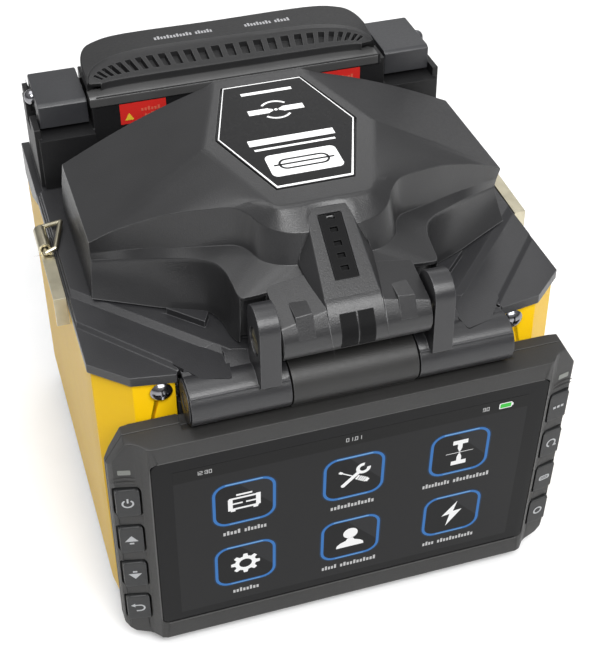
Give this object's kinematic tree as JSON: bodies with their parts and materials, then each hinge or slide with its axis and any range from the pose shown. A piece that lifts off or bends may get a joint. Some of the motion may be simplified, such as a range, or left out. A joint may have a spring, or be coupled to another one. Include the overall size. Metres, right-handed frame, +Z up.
{
  "type": "fiber fusion splicer",
  "caption": "Compact fibre fusion splicer with a hinged faceted hood, tilting front screen with side keys, tube oven along the back, strap rings and yellow side covers.",
  "frame": {"origin": "middle of the footprint, on the surface that the rubber feet stand on", "axes": "+X to the right seen from the screen side, +Y from the screen towards the oven, +Z up"},
  "size_m": [0.1512, 0.1484, 0.1439],
  "materials": {
    "hood_plastic": "satin charcoal grey with fine moulded texture",
    "deck_plastic": "satin charcoal grey moulding",
    "screen_plastic": "satin charcoal grey moulding",
    "base_plastic": "dark grey moulding",
    "yellow_plastic": "satin yellow moulding",
    "oven_plastic": "black heat-proof moulding",
    "lid_plastic": "near-black moulding",
    "clamp_plastic": "grey moulding",
    "black_plastic": "black",
    "rubber": "black rubber",
    "key_rubber": "dark moulded rubber with light printed symbol",
    "badge": "black plate with bright edge line",
    "label_red": "plain red film",
    "glass": null,
    "lcd": "display module",
    "pcb": "green circuit board",
    "battery": "dark battery case",
    "aluminium": "machined",
    "ceramic": "white ceramic",
    "steel": "plain steel",
    "dark_chrome": "black-plated screws",
    "nickel": "warm nickel plate",
    "element": "film heater",
    "lamp": "white lamp block"
  },
  "bodies": {
    "chassis": {"base_shell": "base_plastic", "top_deck": "deck_plastic", "hinge_yoke": "deck_plastic", "bar_end_caps": "black_plastic", "hinge_pins": "steel", "panel_screws": "dark_chrome", "rubber_feet": "rubber", "rear_panel": "base_plastic", "rear_ports": "black_plastic", "fan_frame": "black_plastic", "battery_contacts": "black_plastic", "chassis_plate": "aluminium", "main_board": "pcb", "arc_supply": "pcb", "splice_bench": "aluminium", "electrodes": "steel", "electrode_holders": "black_plastic", "objective_lenses": "steel", "camera_modules": "black_plastic", "heater_housing": "oven_plastic", "heater_trough": "aluminium", "heater_element": "element", "heater_labels": "label_red", "side_panels": "yellow_plastic", "vgroove_blocks": "ceramic", "strap_brackets": "nickel", "feed_motors": "steel"},
    "hood": {"hood_shell": "hood_plastic", "badge_plate": "badge", "spine_insert": "black_plastic", "barrel_insert": "rubber", "wind_seal": "rubber", "hood_lamp": "lamp"},
    "monitor": {"monitor_bezel": "screen_plastic", "monitor_back": "screen_plastic", "cover_glass": "glass", "lcd_panel": "lcd", "screen_board": "pcb"},
    "heater_lid": {"heater_lid": "lid_plastic", "heater_lid_pin": "steel"},
    "end_clamp_left": {"end_clamp_left": "clamp_plastic", "clamp_screw_left": "steel"},
    "end_clamp_right": {"end_clamp_right": "clamp_plastic", "clamp_screw_right": "steel"},
    "strap_ring_left": {"strap_ring_left": "nickel"},
    "strap_ring_right": {"strap_ring_right": "nickel"},
    "fan_rotor": {"fan_rotor": "black_plastic"},
    "battery_pack": {"battery_pack": "battery"},
    "fibre_stage_left": {"fibre_stage_left": "aluminium"},
    "fibre_stage_right": {"fibre_stage_right": "aluminium"},
    "sheath_clamp_left": {"sheath_clamp_left": "steel"},
    "sheath_clamp_right": {"sheath_clamp_right": "steel"},
    "key_power": {"key_power": "key_rubber"},
    "key_up": {"key_up": "key_rubber"},
    "key_down": {"key_down": "key_rubber"},
    "key_back": {"key_back": "key_rubber"},
    "key_set": {"key_set": "key_rubber"},
    "key_restart": {"key_restart": "key_rubber"},
    "key_heat": {"key_heat": "key_rubber"},
    "key_arc": {"key_arc": "key_rubber"}
  },
  "joints": [
    {"name": "hood_hinge", "type": "hinge", "parent": "chassis", "child": "hood", "pos_m": [0, -0.06692, 0.116], "axis": [1, 0, 0], "range_deg": [0, 100]},
    {"name": "monitor_hinge", "type": "hinge", "parent": "chassis", "child": "monitor", "pos_m": [0, -0.06572, 0.0989], "axis": [-1, 0, 0], "range_deg": [0, 80]},
    {"name": "heater_lid_hinge", "type": "hinge", "parent": "chassis", "child": "heater_lid", "pos_m": [0, 0.07228, 0.1306], "axis": [-1, 0, 0], "range_deg": [0, 75]},
    {"name": "end_clamp_left_hinge", "type": "hinge", "parent": "chassis", "child": "end_clamp_left", "pos_m": [-0.0584, 0.06658, 0.1282], "axis": [-1, 0, 0], "range_deg": [0, 80]},
    {"name": "strap_ring_left_swing", "type": "hinge", "parent": "chassis", "child": "strap_ring_left", "pos_m": [-0.0736, 0.01008, 0.1072], "axis": [0, -1, 0], "range_deg": [0, 170]},
    {"name": "end_clamp_right_hinge", "type": "hinge", "parent": "chassis", "child": "end_clamp_right", "pos_m": [0.0584, 0.06658, 0.1282], "axis": [-1, 0, 0], "range_deg": [0, 80]},
    {"name": "strap_ring_right_swing", "type": "hinge", "parent": "chassis", "child": "strap_ring_right", "pos_m": [0.0736, 0.01008, 0.1072], "axis": [0, 1, 0], "range_deg": [0, 170]},
    {"name": "fan_spin", "type": "hinge", "parent": "chassis", "child": "fan_rotor", "pos_m": [0, 0.06608, 0.0865], "axis": [0, 1, 0], "continuous": true},
    {"name": "battery_slide", "type": "slide", "parent": "chassis", "child": "battery_pack", "axis": [0, 1, 0], "range_m": [0, 0.09]},
    {"name": "fibre_feed_left", "type": "slide", "parent": "chassis", "child": "fibre_stage_left", "axis": [1, 0, 0], "range_m": [-0.0015, 0.0015]},
    {"name": "sheath_clamp_left_hinge", "type": "hinge", "parent": "fibre_stage_left", "child": "sheath_clamp_left", "pos_m": [-0.031, 0.00308, 0.098], "axis": [-1, 0, 0], "range_deg": [0, 95]},
    {"name": "fibre_feed_right", "type": "slide", "parent": "chassis", "child": "fibre_stage_right", "axis": [1, 0, 0], "range_m": [-0.0015, 0.0015]},
    {"name": "sheath_clamp_right_hinge", "type": "hinge", "parent": "fibre_stage_right", "child": "sheath_clamp_right", "pos_m": [0.031, 0.00308, 0.098], "axis": [-1, 0, 0], "range_deg": [0, 95]},
    {"name": "key_power_press", "type": "slide", "parent": "monitor", "child": "key_power", "axis": [0, 0.9972, 0.0746], "range_m": [0, 0.0008], "stiffness_N_per_m": 400, "springref_m": -0.0003},
    {"name": "key_up_press", "type": "slide", "parent": "monitor", "child": "key_up", "axis": [0, 0.9972, 0.0746], "range_m": [0, 0.0008], "stiffness_N_per_m": 400, "springref_m": -0.0003},
    {"name": "key_down_press", "type": "slide", "parent": "monitor", "child": "key_down", "axis": [0, 0.9972, 0.0746], "range_m": [0, 0.0008], "stiffness_N_per_m": 400, "springref_m": -0.0003},
    {"name": "key_back_press", "type": "slide", "parent": "monitor", "child": "key_back", "axis": [0, 0.9972, 0.0746], "range_m": [0, 0.0008], "stiffness_N_per_m": 400, "springref_m": -0.0003},
    {"name": "key_set_press", "type": "slide", "parent": "monitor", "child": "key_set", "axis": [0, 0.9972, 0.0746], "range_m": [0, 0.0008], "stiffness_N_per_m": 400, "springref_m": -0.0003},
    {"name": "key_restart_press", "type": "slide", "parent": "monitor", "child": "key_restart", "axis": [0, 0.9972, 0.0746], "range_m": [0, 0.0008], "stiffness_N_per_m": 400, "springref_m": -0.0003},
    {"name": "key_heat_press", "type": "slide", "parent": "monitor", "child": "key_heat", "axis": [0, 0.9972, 0.0746], "range_m": [0, 0.0008], "stiffness_N_per_m": 400, "springref_m": -0.0003},
    {"name": "key_arc_press", "type": "slide", "parent": "monitor", "child": "key_arc", "axis": [0, 0.9972, 0.0746], "range_m": [0, 0.0008], "stiffness_N_per_m": 400, "springref_m": -0.0003}
  ]
}
